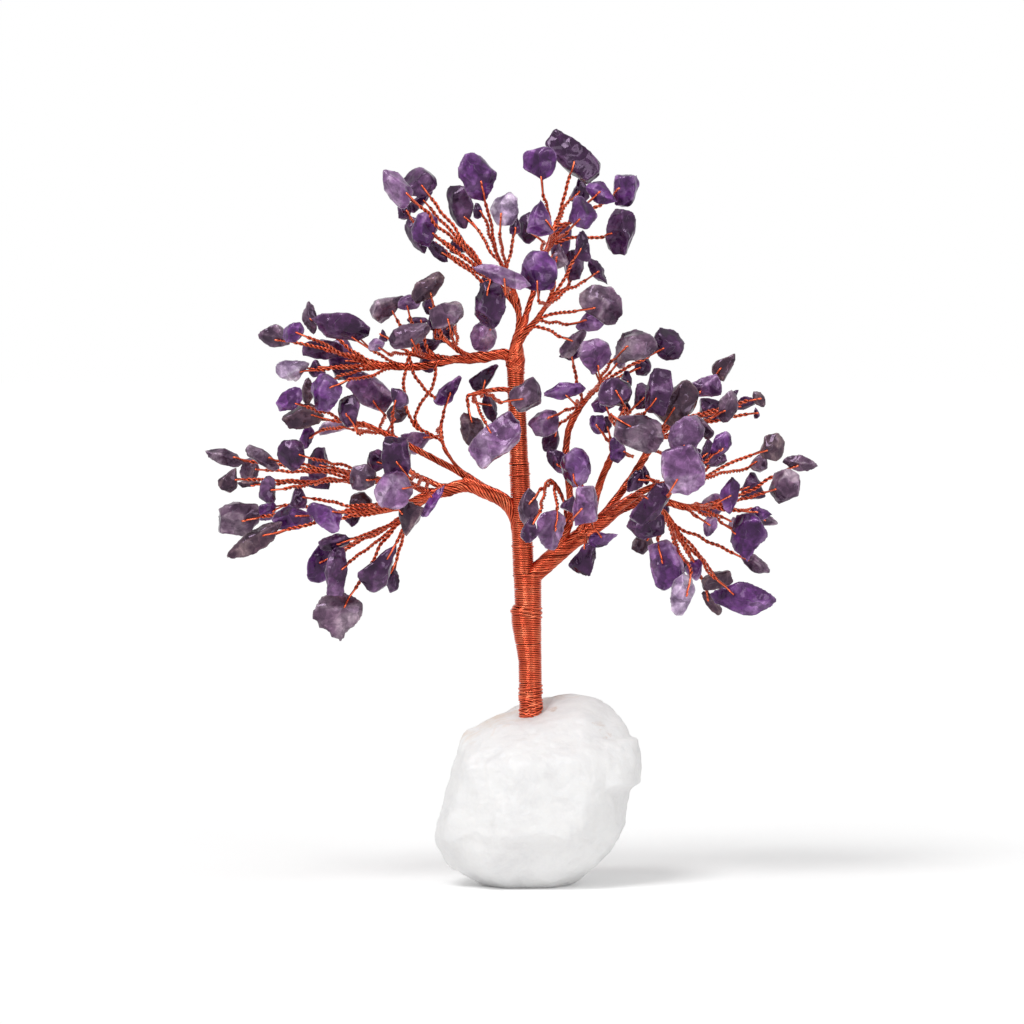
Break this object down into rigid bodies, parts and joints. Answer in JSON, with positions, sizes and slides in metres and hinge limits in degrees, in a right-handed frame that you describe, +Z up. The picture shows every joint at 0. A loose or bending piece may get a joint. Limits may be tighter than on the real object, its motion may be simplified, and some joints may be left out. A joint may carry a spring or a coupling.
{
  "type": "gemstone tree ornament",
  "caption": "Gemstone tree ornament: drilled amethyst chips on twisted copper stems, on boughs that bend at a wire-wrapped trunk set in a white quartz rock.",
  "frame": {"origin": "point of the rock's flat underside below the trunk's foot", "axes": "+Z up, +X to the right seen from the front, -Y towards the viewer"},
  "size_m": [0.162, 0.055, 0.1995],
  "materials": {
    "quartz": "rough broken milky quartz",
    "amethyst": "tumbled, glossy, partly clear",
    "copper_wire": "bright copper",
    "resin": "clear set resin"
  },
  "bodies": {
    "stand": {"quartz_base": "quartz", "socket_resin": "resin", "trunk_core": "copper_wire", "trunk_sprig_chips": "amethyst", "trunk_sprig_wires": "copper_wire", "trunk_wrap_foot": "copper_wire", "trunk_wrap_lower": "copper_wire", "trunk_wrap_top": "copper_wire", "trunk_wrap_upper": "copper_wire"},
    "crown": {"crown_bough": "copper_wire", "crown_centre_chips": "amethyst", "crown_centre_wires": "copper_wire", "crown_left_chips": "amethyst", "crown_left_wires": "copper_wire", "crown_right_chips": "amethyst", "crown_right_wires": "copper_wire", "crown_top_chips": "amethyst", "crown_top_wires": "copper_wire"},
    "left_upper": {"left_upper_bough": "copper_wire", "upper_far_chips": "amethyst", "upper_far_wires": "copper_wire", "upper_middle_chips": "amethyst", "upper_middle_wires": "copper_wire", "upper_near_chips": "amethyst", "upper_near_wires": "copper_wire"},
    "left_lower": {"left_far_chips": "amethyst", "left_far_wires": "copper_wire", "left_hanging_chips": "amethyst", "left_hanging_wires": "copper_wire", "left_high_far_chips": "amethyst", "left_high_far_wires": "copper_wire", "left_level_arm": "copper_wire", "left_level_chips": "amethyst", "left_level_wires": "copper_wire", "left_lower_bough": "copper_wire", "left_near_chips": "amethyst", "left_near_wires": "copper_wire", "left_rising_arm": "copper_wire", "left_rising_chips": "amethyst", "left_rising_wires": "copper_wire"},
    "right": {"right_bough": "copper_wire", "right_far_chips": "amethyst", "right_far_wires": "copper_wire", "right_hanging_chips": "amethyst", "right_hanging_wires": "copper_wire", "right_high_chips": "amethyst", "right_high_wires": "copper_wire", "right_inner_chips": "amethyst", "right_inner_wires": "copper_wire", "right_level_chips": "amethyst", "right_level_wires": "copper_wire", "right_middle_chips": "amethyst", "right_middle_wires": "copper_wire", "right_near_chips": "amethyst", "right_near_wires": "copper_wire", "right_outer_arm": "copper_wire", "right_rising_arm": "copper_wire", "right_top_chips": "amethyst", "right_top_wires": "copper_wire"}
  },
  "joints": [
    {"name": "crown_bend", "type": "hinge", "parent": "stand", "child": "crown", "pos_m": [-0.00484, 0, 0.1431], "axis": [1, 0, 0], "range_deg": [-6, 6]},
    {"name": "left_upper_bend", "type": "hinge", "parent": "stand", "child": "left_upper", "pos_m": [-0.0094, 0, 0.141], "axis": [0, 1, 0], "range_deg": [0, 8]},
    {"name": "left_lower_bend", "type": "hinge", "parent": "stand", "child": "left_lower", "pos_m": [-0.00854, 0, 0.1026], "axis": [0, -1, 0], "range_deg": [0, 14]},
    {"name": "right_bend", "type": "hinge", "parent": "stand", "child": "right", "pos_m": [0.00226, 0, 0.085], "axis": [0, 1, 0], "range_deg": [0, 14]}
  ]
}
